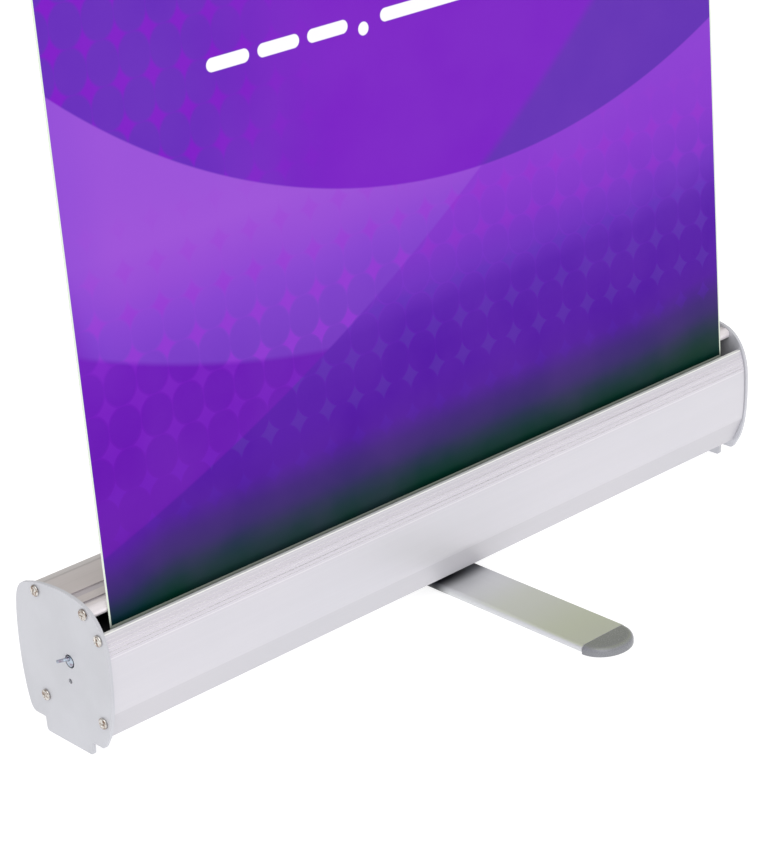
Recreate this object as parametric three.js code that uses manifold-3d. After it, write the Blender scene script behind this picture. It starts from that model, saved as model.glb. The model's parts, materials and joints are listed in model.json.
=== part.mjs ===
// Roll-up banner stand with a single swivel foot: a spring-roller cassette, a three-piece pole and a
// snap-open top rail. Millimetres, +Z up, front towards -Y, left end plate towards -X.
// The origin lies on the floor, under the middle of the cassette.
import * as THREE from 'three';
import { mergeVertices } from 'three/addons/utils/BufferGeometryUtils.js';
import Module from 'manifold-3d';

const wasm = await Module();
wasm.setup();

// ---------------------------------------------------------------- driving dimensions
const GAP = 0.3;                 // clearance between pieces that touch
const CASE_HALF = 312.5;         // half the length of the cassette between its end plates
const PLATE_T = 2.5;             // end plate thickness
const WALL = 1.8;                // wall of the extrusions
const CASE_FLOOR = 16.5;         // underside of the cassette above the floor
const SPLIT_Z = 76;              // joint between casing shell and top cover

const FILM_W = 600;              // width of the printed film
const FILM_T = 0.3;
const FILM_FOOT_Y = -36.27;      // lower edge of the film, behind and under the cassette's front lip
const FILM_FOOT_Z = 88;
const LEAN = Math.atan(0.032);   // the film leans back to the top of the pole
const FILM_LEN = 1612;           // from its lower edge to the top edge, along the film
const RAIL_BOTTOM = 1584;        // lower edge of the top rail, along the film
const RAIL_H = 30;
const RAIL_HALF = 303;
const RAIL_CAP_T = 2.8;
const JAW_PIVOT = [-2.2, 26.6];  // in front of the film and above the rail's lower edge
const JAW_PIVOT_R = 1.3;

const LIP_Z = 95.6;              // top of the casing's front lip
const BEAD = [-30.6, 106];       // round front edge of the top cover, y and z
const BEAD_R = 4.4;
const COVER_RECESSES = [[-17.2, -11.2], [-26.6, -24.4]];
const FINE_LINES_Z = [91.2, 88.8, 86.4, 84, 81.6];  // grooves along the casing's front
const FINE_LINE_DEPTH = 0.3;

const AXLE = [-8.1, 64.3];       // roller axis, y and z
const TUBE_R = 14;
const TUBE_WALL = 1.2;
const WOUND_R = 16.5;            // roller with its last turns of film
const SHAFT_R = 3.8;
const SHAFT_HOLE_R = 4.9;
const TOOL_HOLE = [-6.7, 49.2];  // small hole under the shaft, y and z
const PLUG_BORE_R = 4.1;         // plugs that turn on the shaft
const IDLE_PIN_R = 2.8;
const IDLE_BORE_R = 3.1;
const ROLLER_END = 306;          // outer faces of the roller's end plugs
const SPRING_X = [-283, -87];
const SPRING_R = 9;
const SPRING_TURNS = 13;
const SPRING_WIRE_R = 0.9;

const POLE_Y = 30;
const POLE_OVERLAP = 45;         // how far each upper section sits in the one below
const POLE_FOOT = 21.5;
const SECTION_TOP = [568, 1122, 1677];
const sectionBottom = (i) => (i === 0 ? POLE_FOOT : SECTION_TOP[i - 1] - POLE_OVERLAP);
const SECTION_R = [9.5, 8.0, 6.5];
const POLE_WALL = 1.1;
const COLLAR_H = 14;
const COLLAR_T = 1.4;
const STOP_H = 6;
const STOP_T = 1.8;
const CORD_TOP = 1500;
const SOCKET_BORE_R = 9.8;
const SOCKET_TOP = 62;
const SOCKET_BASE_T = 2.6;
const SOCKET_SCREW_X = 18;
const GROMMET_R = 12.4;

const FOOT_X = 18;               // the foot's pivot, beside the pole socket
const FOOT_W = 44;
const FOOT_BASE = 0.5;           // underside of the bar above the floor
const FOOT_TOP = 6.9;
const FOOT_BAR_HALF = 169;       // half the length of the bar
const FOOT_CAP_L = 20;
const PAD_Y = 148;
const PAD_R = 8;
const BOLT_R = 3.9;
const BUSH_BORE_R = 4.4;
const RIVET_DX = 16;             // rivets of the foot's mounting plate, from its pivot
const RIVET_Y = -12;
const RIVET_HOLE_R = 2.3;

// Cross-section positions (y, z) of the five screws that hold each end plate.
const COVER_SCREWS = [[21.9, 106], [-29.7, 106]];
const SHELL_SCREWS = [[-43.3, 91.8], [22.6, 28.6], [-39.4, 30.3]];
const BOSS_R = 3.5;
const SCREW_HOLE_R = 1.8;
const SCREW_R = 1.5;
const HEAD_R = 4;
const HEAD_H = 1.8;

// ---------------------------------------------------------------- materials
const metal = (color, roughness) => new THREE.MeshStandardMaterial({ color, roughness, metalness: 0.9 });
const plastic = (color, roughness) => new THREE.MeshStandardMaterial({ color, roughness, metalness: 0 });
const MAT = {
  anodised: metal(0xd6d4da, 0.38),
  plate: metal(0xcdced4, 0.5),
  pole: metal(0xc9cbcf, 0.32),
  steel: metal(0xb4b8bc, 0.3),
  zinc: metal(0xa9b4ba, 0.35),
  grey: plastic(0x828482, 0.5),
  black: plastic(0x1c1c1e, 0.55),
  rubber: plastic(0x262628, 0.9),
  film: plastic(0x7d2cc4, 0.35),
  leader: plastic(0xe8e8ea, 0.5),
  elastic: plastic(0x2a2a2c, 0.9),
};

// ---------------------------------------------------------------- solid helpers
function toSolid(geometry) {
  const g = geometry.index ? geometry.toNonIndexed() : geometry.clone();
  g.deleteAttribute('normal');
  g.deleteAttribute('uv');
  const merged = mergeVertices(g, 1e-4);
  return new wasm.Manifold(new wasm.Mesh({
    numProp: 3,
    vertProperties: new Float32Array(merged.attributes.position.array),
    triVerts: new Uint32Array(merged.index.array),
  }));
}

function fromSolid(solid) {
  const mesh = solid.getMesh();
  const g = new THREE.BufferGeometry();
  g.setAttribute('position', new THREE.BufferAttribute(new Float32Array(mesh.vertProperties), 3));
  g.setIndex(new THREE.BufferAttribute(new Uint32Array(mesh.triVerts), 1));
  return g;
}

const join = (...solids) => solids.reduce((a, b) => a.add(b));
const cut = (solid, ...tools) => tools.reduce((a, b) => a.subtract(b), solid);

function block(x0, x1, y0, y1, z0, z1) {
  const g = new THREE.BoxGeometry(x1 - x0, y1 - y0, z1 - z0);
  g.translate((x0 + x1) / 2, (y0 + y1) / 2, (z0 + z1) / 2);
  return toSolid(g);
}

// A (y, z) outline drawn as a THREE.Shape and swept along X from x0 to x1.
function sweepX(shape, x0, x1, curveSegments = 8) {
  const g = new THREE.ExtrudeGeometry(shape, { depth: x1 - x0, bevelEnabled: false, curveSegments });
  g.applyMatrix4(new THREE.Matrix4().makeBasis(
    new THREE.Vector3(0, 1, 0), new THREE.Vector3(0, 0, 1), new THREE.Vector3(1, 0, 0)));
  g.translate(x0, 0, 0);
  return toSolid(g);
}

function rodX(r, x0, x1, y, z, sides = 20) {
  const g = new THREE.CylinderGeometry(r, r, x1 - x0, sides);
  g.rotateZ(-Math.PI / 2);
  g.translate((x0 + x1) / 2, y, z);
  return toSolid(g);
}

function rodZ(r, z0, z1, x, y, sides = 24) {
  const g = new THREE.CylinderGeometry(r, r, z1 - z0, sides);
  g.rotateX(Math.PI / 2);
  g.translate(x, y, (z0 + z1) / 2);
  return toSolid(g);
}

// A profile of [radius, height] pairs turned about its own axis, which stands along +Z.
function turned(profile, sides = 24) {
  const g = new THREE.LatheGeometry(profile.map(([r, h]) => new THREE.Vector2(r, h)), sides);
  g.rotateX(Math.PI / 2);
  return g;
}

function ringProfile(inner, outer, h0, h1) {
  return [[inner, h0], [outer, h0], [outer, h1], [inner, h1], [inner, h0]];
}

const turnedAt = (profile, x, y, z, sides) => turned(profile, sides).translate(x, y, z);

// The same, with the turned axis laid along +X from x = 0.
function turnedX(profile, y, z, sides = 24) {
  const g = turned(profile, sides);
  g.rotateY(Math.PI / 2);
  g.translate(0, y, z);
  return g;
}

const group = new THREE.Group();
const leaning = new THREE.Group();
leaning.position.set(0, FILM_FOOT_Y, FILM_FOOT_Z);
leaning.rotation.x = -LEAN;
group.add(leaning);

function add(name, shape, material, parent = group) {
  const geometry = shape.isBufferGeometry ? shape : fromSolid(shape);
  const mesh = new THREE.Mesh(geometry, material);
  mesh.name = name;
  parent.add(mesh);
}

// ---------------------------------------------------------------- cassette outlines
// Outer outline of the end plates: a D-like section with a tab that reaches the floor.
function plateOutline() {
  const s = new THREE.Shape();
  s.moveTo(27, 10.3);
  s.lineTo(37, 10.3);
  s.quadraticCurveTo(41, 10.5, 43, 16);
  s.bezierCurveTo(48.6, 34, 50.2, 68, 46, 92);
  s.quadraticCurveTo(43.2, 106.5, 32.8, 108.7);
  s.bezierCurveTo(14, 115.6, -16, 117.6, -33, 110.8);
  s.bezierCurveTo(-41.5, 107, -51.3, 96, -51.3, 75);
  s.bezierCurveTo(-51.3, 56, -50.2, 34, -43.4, 20.5);
  s.lineTo(-38.5, 12.5);
  s.quadraticCurveTo(-37, 10.1, -34.5, 10.1);
  s.lineTo(-25, 10.1);
  s.lineTo(-24, 9);
  s.lineTo(-23.6, 2.5);
  s.quadraticCurveTo(-23.4, 0, -20.5, 0);
  s.lineTo(24, 0);
  s.quadraticCurveTo(26.6, 0, 26.8, 3);
  s.lineTo(27, 10.3);
  return s;
}

// Outer outline of the closed cassette section, before the slot is cut.
function caseOutline() {
  const s = new THREE.Shape();
  s.moveTo(-35.5, CASE_FLOOR);
  s.lineTo(36, CASE_FLOOR);
  s.quadraticCurveTo(40.5, CASE_FLOOR, 42, 21.5);
  s.bezierCurveTo(47.6, 40, 48.4, 66, 44.7, 90);
  s.quadraticCurveTo(42, 103.6, 31.5, 106.4);
  s.bezierCurveTo(14, 113.4, -16, 115.2, -32, 109.2);
  s.bezierCurveTo(-40.5, 105.2, -50.1, 95, -50.1, 75);
  s.bezierCurveTo(-50.1, 60, -49.6, 48, -47.8, 38.5);
  s.lineTo(-39, 19);
  s.quadraticCurveTo(-37.9, CASE_FLOOR, -35.5, CASE_FLOOR);
  return s;
}

// The outline moved inwards by a distance, for the inside of a wall.
function inset(shape, distance, curveSegments = 8) {
  const points = shape.getPoints(curveSegments);
  if (points[0].distanceTo(points[points.length - 1]) < 1e-6) points.pop();
  const n = points.length;
  const side = THREE.ShapeUtils.isClockWise(points) ? -1 : 1;
  const moved = points.map((p, i) => {
    const before = points[(i + n - 1) % n];
    const after = points[(i + 1) % n];
    const tangent = after.clone().sub(before).normalize();
    return new THREE.Vector2(p.x - side * tangent.y * distance, p.y + side * tangent.x * distance);
  });
  return new THREE.Shape(moved);
}

const bosses = (places, x0, x1) => places.map(([y, z]) => rodX(BOSS_R, x0, x1, y, z, 16));
const screwHoles = (places, x0, x1) => places.map(([y, z]) => rodX(SCREW_HOLE_R, x0, x1, y, z, 10));

function caseTube(x0, x1) {
  const inside = sweepX(inset(caseOutline(), WALL), x0 - 1, x1 + 1);
  return cut(sweepX(caseOutline(), x0, x1), inside);
}

// ---------------------------------------------------------------- casing shell and top cover
function casingShell() {
  const x0 = -CASE_HALF + GAP;
  const x1 = CASE_HALF - GAP;
  const top = block(x0 - 1, x1 + 1, -42, 60, SPLIT_Z - GAP, 130);
  const aboveLip = block(x0 - 1, x1 + 1, -60, -30, LIP_Z, 130);
  const shell = cut(caseTube(x0, x1), top, aboveLip);
  const tongueFoot = block(x0, x1, 41.4, 45.6, SPLIT_Z - 10, SPLIT_Z - GAP);
  const tongue = block(x0, x1, 41.4, 43, SPLIT_Z - 6, SPLIT_Z + 8);
  const rearRib = block(x0, x1, 21.6, 23.6, CASE_FLOOR + 1, SHELL_SCREWS[1][1]);
  const whole = join(shell, tongueFoot, tongue, rearRib, ...bosses(SHELL_SCREWS, x0, x1));
  const holes = [
    rodZ(BUSH_BORE_R, 10, 25, FOOT_X, 0),
    ...[-SOCKET_SCREW_X, SOCKET_SCREW_X].map((x) => rodZ(SCREW_HOLE_R, 10, 25, x, POLE_Y, 12)),
    ...[-RIVET_DX, RIVET_DX].map((dx) => rodZ(RIVET_HOLE_R, 10, 25, FOOT_X + dx, RIVET_Y, 12)),
  ];
  // The rib and its screw boss are milled away where the pole socket stands.
  const socketRoom = block(-26, 26, 15, 41.3, CASE_FLOOR + WALL, 40);
  const skin = cut(sweepX(caseOutline(), x0 - 1, x1 + 1),
    sweepX(inset(caseOutline(), FINE_LINE_DEPTH), x0 - 2, x1 + 2));
  const fineLines = FINE_LINES_Z.map((z) => skin.intersect(block(x0 - 2, x1 + 2, -60, -30, z, z + 0.5)));
  return cut(whole, ...screwHoles(SHELL_SCREWS, x0 - 1, x1 + 1), ...holes, socketRoom, ...fineLines);
}

function topCover() {
  const x0 = -CASE_HALF + GAP;
  const x1 = CASE_HALF - GAP;
  const below = block(x0 - 1, x1 + 1, -70, 70, 0, SPLIT_Z);
  const front = block(x0 - 1, x1 + 1, -70, -30.5, 0, 130);
  const bead = rodX(BEAD_R, x0, x1, ...BEAD, 18);
  const skin = cut(caseTube(x0, x1), below, front);
  const whole = join(skin, bead, ...bosses([COVER_SCREWS[0]], x0, x1));
  // Two long recesses in the cover's outer face, a wide one and a narrow one.
  const outside = cut(sweepX(caseOutline(), x0 - 1, x1 + 1), sweepX(inset(caseOutline(), 0.8), x0 - 2, x1 + 2));
  const recesses = COVER_RECESSES.map(([y0, y1]) =>
    outside.intersect(block(x0 - 2, x1 + 2, y0, y1, 100, 130)));
  const poleHole = rodZ(GROMMET_R + 0.4, 90, 130, 0, POLE_Y, 28);
  return cut(whole, ...screwHoles(COVER_SCREWS, x0 - 1, x1 + 1), ...recesses, poleHole);
}

function endPlate(side) {
  const x0 = side < 0 ? -CASE_HALF - PLATE_T : CASE_HALF;
  const x1 = x0 + PLATE_T;
  const plate = sweepX(plateOutline(), x0, x1, 10);
  const shaft = rodX(SHAFT_HOLE_R, x0 - 1, x1 + 1, ...AXLE, 20);
  const toolHole = rodX(1.9, x0 - 1, x1 + 1, ...TOOL_HOLE, 12);
  return cut(plate, ...screwHoles([...COVER_SCREWS, ...SHELL_SCREWS], x0 - 1, x1 + 1), shaft, toolHole);
}

// A pan-head cross-recess screw, its head outside the plate and its shank in the boss.
function plateScrew(side, y, z) {
  const dome = [[HEAD_R, 0], [HEAD_R - 0.2, HEAD_H / 2], [HEAD_R * 0.7, HEAD_H - 0.3], [0, HEAD_H]];
  const head = turned([[0, -14], [SCREW_R, -14], [SCREW_R, 0], ...dome], 12);
  let solid = toSolid(head);
  const slot = block(-0.45, 0.45, -2.2, 2.2, HEAD_H - 0.9, 3);
  solid = cut(solid, slot, slot.rotate([0, 0, 90]));
  const g = fromSolid(solid);
  g.rotateY(side * Math.PI / 2);
  g.translate(side * (CASE_HALF + PLATE_T + GAP), y, z);
  return g;
}

add('casing_shell', casingShell(), MAT.anodised);
add('top_cover', topCover(), MAT.anodised);
add('end_plate_left', endPlate(-1), MAT.plate);
add('end_plate_right', endPlate(1), MAT.plate);
for (const [side, word] of [[-1, 'left'], [1, 'right']]) {
  [...COVER_SCREWS, ...SHELL_SCREWS].forEach(([y, z], i) => {
    add(`plate_screw_${word}_${i + 1}`, plateScrew(side, y, z), MAT.steel);
  });
}

// ---------------------------------------------------------------- pole socket and grommet
const floorTop = CASE_FLOOR + WALL + GAP;
const socketTube = toSolid(turnedAt(ringProfile(SOCKET_BORE_R, 10.9, floorTop, SOCKET_TOP), 0, POLE_Y, 0, 28));
const socketBase = cut(
  block(-24, 24, 18.6, 36, floorTop, floorTop + SOCKET_BASE_T),
  rodZ(SOCKET_BORE_R, 10, 30, 0, POLE_Y, 28),
  ...[-SOCKET_SCREW_X, SOCKET_SCREW_X].map((x) => rodZ(SCREW_HOLE_R, 10, 30, x, POLE_Y, 12)),
);
// The socket's lower rear edge is relieved where the casing's corner rounds in.
const cornerRelief = block(-24, 24, 39.4, 50, 0, 27);
add('pole_socket', cut(join(socketTube, socketBase), cornerRelief), MAT.black);
for (const [x, word] of [[-SOCKET_SCREW_X, 'left'], [SOCKET_SCREW_X, 'right']]) {
  const profile = [[0, -7], [SCREW_R, -7], [SCREW_R, 0], [3, 0], [2.8, 1.2], [0, 1.8]];
  add(`socket_screw_${word}`, turnedAt(profile, x, POLE_Y, floorTop + SOCKET_BASE_T + GAP, 14), MAT.steel);
}
const grommetBore = SECTION_R[0] + 0.5;
const grommetProfile = [[grommetBore, 98], [GROMMET_R, 98], [GROMMET_R, 111.5], [GROMMET_R - 0.8, 112.6],
  [grommetBore, 112.6], [grommetBore, 98]];
add('pole_grommet', turnedAt(grommetProfile, 0, POLE_Y, 0, 32), MAT.black);

// ---------------------------------------------------------------- foot
const footShape = new THREE.Shape();
const halfW = FOOT_W / 2;
const edgeR = (FOOT_TOP - FOOT_BASE) / 2;
const footMid = (FOOT_TOP + FOOT_BASE) / 2;
footShape.moveTo(-halfW + edgeR, FOOT_BASE);
footShape.lineTo(halfW - edgeR, FOOT_BASE);
footShape.absarc(halfW - edgeR, footMid, edgeR, -Math.PI / 2, Math.PI / 2, false);
footShape.lineTo(-halfW + edgeR, FOOT_TOP);
footShape.absarc(-halfW + edgeR, footMid, edgeR, Math.PI / 2, Math.PI * 1.5, false);

function footBar() {
  const options = { depth: 2 * FOOT_BAR_HALF, bevelEnabled: false, curveSegments: 8 };
  const g = new THREE.ExtrudeGeometry(footShape, options);
  g.rotateX(Math.PI / 2);
  g.translate(FOOT_X, FOOT_BAR_HALF, 0);
  const pockets = [-1, 1].map((s) => rodZ(PAD_R + GAP, -1, 2, FOOT_X, s * PAD_Y));
  return cut(toSolid(g), ...pockets, rodZ(6.5, -1, 10, FOOT_X, 0), rodZ(9.5, -1, 3.4, FOOT_X, 0));
}

// The end cap is a half ellipse in plan with softened edges.
function footCap(sign) {
  const bevel = 1.6;
  const plan = new THREE.Shape();
  const halfCap = halfW - bevel;
  plan.moveTo(-halfCap, 0);
  plan.lineTo(halfCap, 0);
  plan.absellipse(0, 0, halfCap, FOOT_CAP_L - bevel, 0, Math.PI, false);
  const depth = FOOT_TOP - FOOT_BASE - 2 * bevel;
  const softened = { bevelThickness: bevel, bevelSize: bevel, bevelSegments: 2, curveSegments: 14 };
  const g = new THREE.ExtrudeGeometry(plan, { depth, ...softened });
  g.translate(0, 0, FOOT_BASE + bevel);
  if (sign < 0) g.rotateZ(Math.PI);
  g.translate(FOOT_X, sign * (FOOT_BAR_HALF + GAP), 0);
  const keep = sign < 0 ? [-400, -FOOT_BAR_HALF - GAP] : [FOOT_BAR_HALF + GAP, 400];
  return toSolid(g).intersect(block(FOOT_X - 50, FOOT_X + 50, keep[0], keep[1], -5, 20));
}

add('foot_bar', footBar(), MAT.anodised);
add('foot_cap_front', footCap(-1), MAT.grey);
add('foot_cap_rear', footCap(1), MAT.grey);
const padProfile = [[0, 0], [PAD_R - 0.4, 0], [PAD_R, 0.5], [PAD_R, 1.7], [0, 1.7]];
for (const [s, word] of [[-1, 'front'], [1, 'rear']]) {
  add(`foot_pad_${word}`, turnedAt(padProfile, FOOT_X, s * PAD_Y, 0, 20), MAT.rubber);
}
const bushProfile = [[BUSH_BORE_R, 3.8], [6.2, 3.8], [6.2, FOOT_TOP + GAP], [15, FOOT_TOP + GAP], [15, 12.9],
  [BUSH_BORE_R, 12.9], [BUSH_BORE_R, 3.8]];
add('foot_bush', turnedAt(bushProfile, FOOT_X, 0, 0, 28), MAT.black);
const boltProfile = [[0, 1], [8.6, 1], [8.6, 3.4], [BOLT_R, 3.4], [BOLT_R, 28], [BOLT_R - 0.5, 28.6],
  [0, 28.6]];
add('foot_pivot_bolt', turnedAt(boltProfile, FOOT_X, 0, 0, 24), MAT.zinc);
add('foot_pivot_nut', cut(rodZ(7.2, floorTop, 25.2, FOOT_X, 0, 6), rodZ(4.2, 0, 40, FOOT_X, 0)), MAT.zinc);
const mountPlate = cut(
  block(FOOT_X - 26, FOOT_X + 26, -20, 20, 13.2, CASE_FLOOR - GAP),
  rodZ(BUSH_BORE_R, 0, 30, FOOT_X, 0),
  ...[-RIVET_DX, RIVET_DX].map((dx) => rodZ(RIVET_HOLE_R, 0, 30, FOOT_X + dx, RIVET_Y, 12)),
);
add('foot_mount_plate', mountPlate, MAT.zinc);
const rivetProfile = [[0, 11.4], [2.6, 11.6], [3.9, 12.9], [2, 12.9], [2, floorTop], [3.6, floorTop],
  [3, 19.8], [0, 20.2]];
for (const [dx, word] of [[-RIVET_DX, 'left'], [RIVET_DX, 'right']]) {
  add(`mount_rivet_${word}`, turnedAt(rivetProfile, FOOT_X + dx, RIVET_Y, 0, 14), MAT.steel);
}

// ---------------------------------------------------------------- roller and its spring
const TUBE_HALF = FILM_W / 2 + 2;
const tubeInner = TUBE_R - TUBE_WALL;
add('roller_tube', turnedX(ringProfile(tubeInner, TUBE_R, -TUBE_HALF, TUBE_HALF), ...AXLE), MAT.zinc);
const woundFilm = ringProfile(TUBE_R + GAP, WOUND_R, -FILM_W / 2, FILM_W / 2);
add('wound_film', turnedX(woundFilm, ...AXLE, 28), MAT.leader);
// A flanged plug pushed into one end of the tube, for an end that lies towards +X.
function endPlug(bore, inner) {
  const plugR = tubeInner - 0.4;
  const flangeR = TUBE_R + 0.4;
  const flange = ROLLER_END - 3;
  return [[bore, inner], [plugR, inner], [plugR, flange], [flangeR, flange], [flangeR, ROLLER_END],
    [bore, ROLLER_END], [bore, inner]];
}

const mirrored = (profile) => profile.map(([r, x]) => [r, -x]).reverse();
add('spring_end_plug', turnedX(mirrored(endPlug(PLUG_BORE_R, 286)), ...AXLE), MAT.black);
add('idle_end_plug', turnedX(endPlug(IDLE_BORE_R, 284), ...AXLE), MAT.black);
add('idle_pin', turnedX([[0, 286], [IDLE_PIN_R, 286], [IDLE_PIN_R, 313], [0, 313]], ...AXLE, 16), MAT.steel);
const idleBush = [[IDLE_BORE_R, 307], [8, 307], [8, 312.2], [4.6, 312.2], [4.6, 314], [IDLE_BORE_R, 314],
  [IDLE_BORE_R, 307]];
add('idle_bush', turnedX(idleBush, ...AXLE), MAT.grey);

const PIN_LEAN = THREE.MathUtils.degToRad(20);
const pinDirection = new THREE.Vector3(-Math.cos(PIN_LEAN), Math.sin(PIN_LEAN), 0);
const pinMouth = new THREE.Vector3(-CASE_HALF - PLATE_T, AXLE[0] + 1.2, AXLE[1] + 1.4);

function alongPin(profile, sides) {
  const g = turned(profile, sides);
  g.applyQuaternion(new THREE.Quaternion().setFromUnitVectors(new THREE.Vector3(0, 0, 1), pinDirection));
  g.translate(pinMouth.x, pinMouth.y, pinMouth.z);
  return g;
}

const pinBore = toSolid(alongPin([[0, -5.6], [1.5, -5.6], [1.5, 6], [0, 6]], 12));
add('spring_shaft', cut(rodX(SHAFT_R, -CASE_HALF - PLATE_T, -62, ...AXLE, 20), pinBore), MAT.zinc);
add('shaft_washer', turnedX(ringProfile(PLUG_BORE_R, 8.5, -311.8, -310.2), ...AXLE), MAT.steel);
add('spring_anchor_plug', turnedX(ringProfile(PLUG_BORE_R, tubeInner - 0.4, -84, -70), ...AXLE), MAT.black);
add('lock_pin', alongPin([[0, -5], [1.15, -5], [1.15, 7.4], [0.8, 8], [0, 8]], 12), MAT.steel);

class Coil extends THREE.Curve {
  constructor(radius, turns, x0, x1) {
    super();
    Object.assign(this, { radius, turns, x0, x1 });
  }

  getPoint(t, target = new THREE.Vector3()) {
    const angle = 2 * Math.PI * this.turns * t;
    const x = this.x0 + (this.x1 - this.x0) * t;
    return target.set(x, AXLE[0] + this.radius * Math.cos(angle), AXLE[1] + this.radius * Math.sin(angle));
  }
}

function springCoil() {
  const wire = new THREE.Shape();
  wire.absarc(0, 0, SPRING_WIRE_R, 0, 2 * Math.PI, false);
  const extrudePath = new Coil(SPRING_R, SPRING_TURNS, ...SPRING_X);
  return new THREE.ExtrudeGeometry(wire, {
    steps: SPRING_TURNS * 9, curveSegments: 3, bevelEnabled: false, extrudePath,
  });
}
add('torsion_spring', springCoil(), MAT.steel);

// ---------------------------------------------------------------- film
// The inner run goes straight from the front of the wound film up to the printed part's lower edge.
function innerRun() {
  const rim = WOUND_R + GAP + FILM_T / 2;
  const top = new THREE.Vector2(FILM_FOOT_Y, FILM_FOOT_Z - GAP);
  const centre = new THREE.Vector2(...AXLE);
  const toAxle = centre.clone().sub(top);
  const reach = Math.sqrt(toAxle.lengthSq() - rim * rim);
  const turn = Math.asin(rim / toAxle.length());
  const along = toAxle.clone().normalize().rotateAround(new THREE.Vector2(0, 0), -turn);
  const bottom = top.clone().addScaledVector(along, reach);
  const across = new THREE.Vector2(-along.y, along.x).multiplyScalar(FILM_T / 2);
  const back = [top.clone().add(across), bottom.clone().add(across)];
  const front = [bottom.clone().sub(across), top.clone().sub(across)];
  return sweepX(new THREE.Shape([...back, ...front]), -FILM_W / 2, FILM_W / 2);
}
add('film_inner_run', innerRun(), MAT.leader);
add('banner_film', block(-FILM_W / 2, FILM_W / 2, -FILM_T / 2, FILM_T / 2, 0, FILM_LEN), MAT.film, leaning);

// ---------------------------------------------------------------- top rail
// Sections in the film's own plane: behind the film, above the rail's lower edge.
function outline(points) {
  return new THREE.Shape(points.map(([y, z]) => new THREE.Vector2(y, RAIL_BOTTOM + z)));
}

const railSection = outline([[0.6, 0], [2.4, 0], [2.4, 28], [6, 28], [6, 17], [7.6, 17], [7.6, 29],
  [6.6, RAIL_H], [-2.2, RAIL_H], [-3, 29.2], [-3, 28.3], [0.6, 28.3]]);
add('top_rail_body', sweepX(railSection, -RAIL_HALF, RAIL_HALF), MAT.anodised, leaning);

function jaw() {
  const half = RAIL_HALF - GAP;
  const s = new THREE.Shape();
  s.moveTo(-3.3, RAIL_BOTTOM + 26.6);
  s.quadraticCurveTo(-6.6, RAIL_BOTTOM + 13, -4.2, RAIL_BOTTOM + 2);
  s.quadraticCurveTo(-3.6, RAIL_BOTTOM + 0.3, -2.4, RAIL_BOTTOM + 0.3);
  s.lineTo(-0.7, RAIL_BOTTOM + 0.3);
  s.lineTo(-0.7, RAIL_BOTTOM + 3.4);
  s.lineTo(-2.6, RAIL_BOTTOM + 4.2);
  s.quadraticCurveTo(-4.8, RAIL_BOTTOM + 14, -1.6, RAIL_BOTTOM + 25.8);
  const [pivotY, pivotZ] = JAW_PIVOT;
  return join(sweepX(s, -half, half, 6), rodX(JAW_PIVOT_R, -half, half, pivotY, RAIL_BOTTOM + pivotZ, 14));
}
add('top_rail_jaw', jaw(), MAT.anodised, leaning);

function railCap(sign) {
  const s = new THREE.Shape();
  s.moveTo(-4.5, RAIL_BOTTOM - 0.5);
  s.lineTo(6.6, RAIL_BOTTOM - 0.5);
  s.quadraticCurveTo(8.2, RAIL_BOTTOM - 0.5, 8.2, RAIL_BOTTOM + 1.5);
  s.lineTo(8.2, RAIL_BOTTOM + RAIL_H - 1);
  s.quadraticCurveTo(8.2, RAIL_BOTTOM + RAIL_H + 0.6, 6.6, RAIL_BOTTOM + RAIL_H + 0.6);
  s.lineTo(-2.6, RAIL_BOTTOM + RAIL_H + 0.6);
  s.quadraticCurveTo(-8.6, RAIL_BOTTOM + 14, -4.5, RAIL_BOTTOM - 0.5);
  const inner = RAIL_HALF + GAP;
  return sign < 0 ? sweepX(s, -inner - RAIL_CAP_T, -inner) : sweepX(s, inner, inner + RAIL_CAP_T);
}
add('top_rail_cap_left', railCap(-1), MAT.grey, leaning);
add('top_rail_cap_right', railCap(1), MAT.grey, leaning);

// ---------------------------------------------------------------- pole
const SECTION_NAMES = ['pole_lower', 'pole_middle', 'pole_upper'];
SECTION_NAMES.forEach((name, i) => {
  const wall = ringProfile(SECTION_R[i] - POLE_WALL, SECTION_R[i], sectionBottom(i), SECTION_TOP[i]);
  add(name, turnedAt(wall, 0, POLE_Y, 0, 24), MAT.pole);
});

// A collar is pressed over the top of each lower tube and guides the tube that slides in it.
function collar(i) {
  const top = SECTION_TOP[i];
  const bore = SECTION_R[i + 1] + GAP;
  const over = SECTION_R[i] + GAP;
  const outer = over + COLLAR_T;
  return [[bore, top + GAP], [over, top + GAP], [over, top - COLLAR_H], [outer - 0.2, top - COLLAR_H],
    [outer, top - COLLAR_H + 1], [outer, top + 2], [over, top + 3], [bore, top + 3], [bore, top + GAP]];
}

function stopRing(i) {
  const z = SECTION_TOP[i - 1] + 3 + GAP;
  const bore = SECTION_R[i] + 0.1;
  const outer = bore + STOP_T;
  const top = z + STOP_H;
  return [[bore, z], [outer, z], [outer, top - 1], [outer - 0.9, top], [bore, top], [bore, z]];
}
add('pole_lower_collar', turnedAt(collar(0), 0, POLE_Y, 0, 24), MAT.black);
add('pole_middle_collar', turnedAt(collar(1), 0, POLE_Y, 0, 24), MAT.black);
add('pole_middle_stop', turnedAt(stopRing(1), 0, POLE_Y, 0, 24), MAT.black);
add('pole_upper_stop', turnedAt(stopRing(2), 0, POLE_Y, 0, 24), MAT.black);

const plugR = SECTION_R[0] - POLE_WALL - 0.2;
const plugTop = POLE_FOOT + 16;
const footPlug = [[0, 19.2], [6.5, 19.2], [9.2, 20.2], [9.2, 21.3], [plugR, 21.3], [plugR, plugTop],
  [0, plugTop]];
add('pole_foot_plug', turnedAt(footPlug, 0, POLE_Y, 0, 24), MAT.black);
add('shock_cord', rodZ(1.5, plugTop + GAP, CORD_TOP, 0, POLE_Y, 8), MAT.elastic);
add('cord_anchor', rodZ(5.2, CORD_TOP + GAP, CORD_TOP + 12, 0, POLE_Y, 16), MAT.grey);

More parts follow.
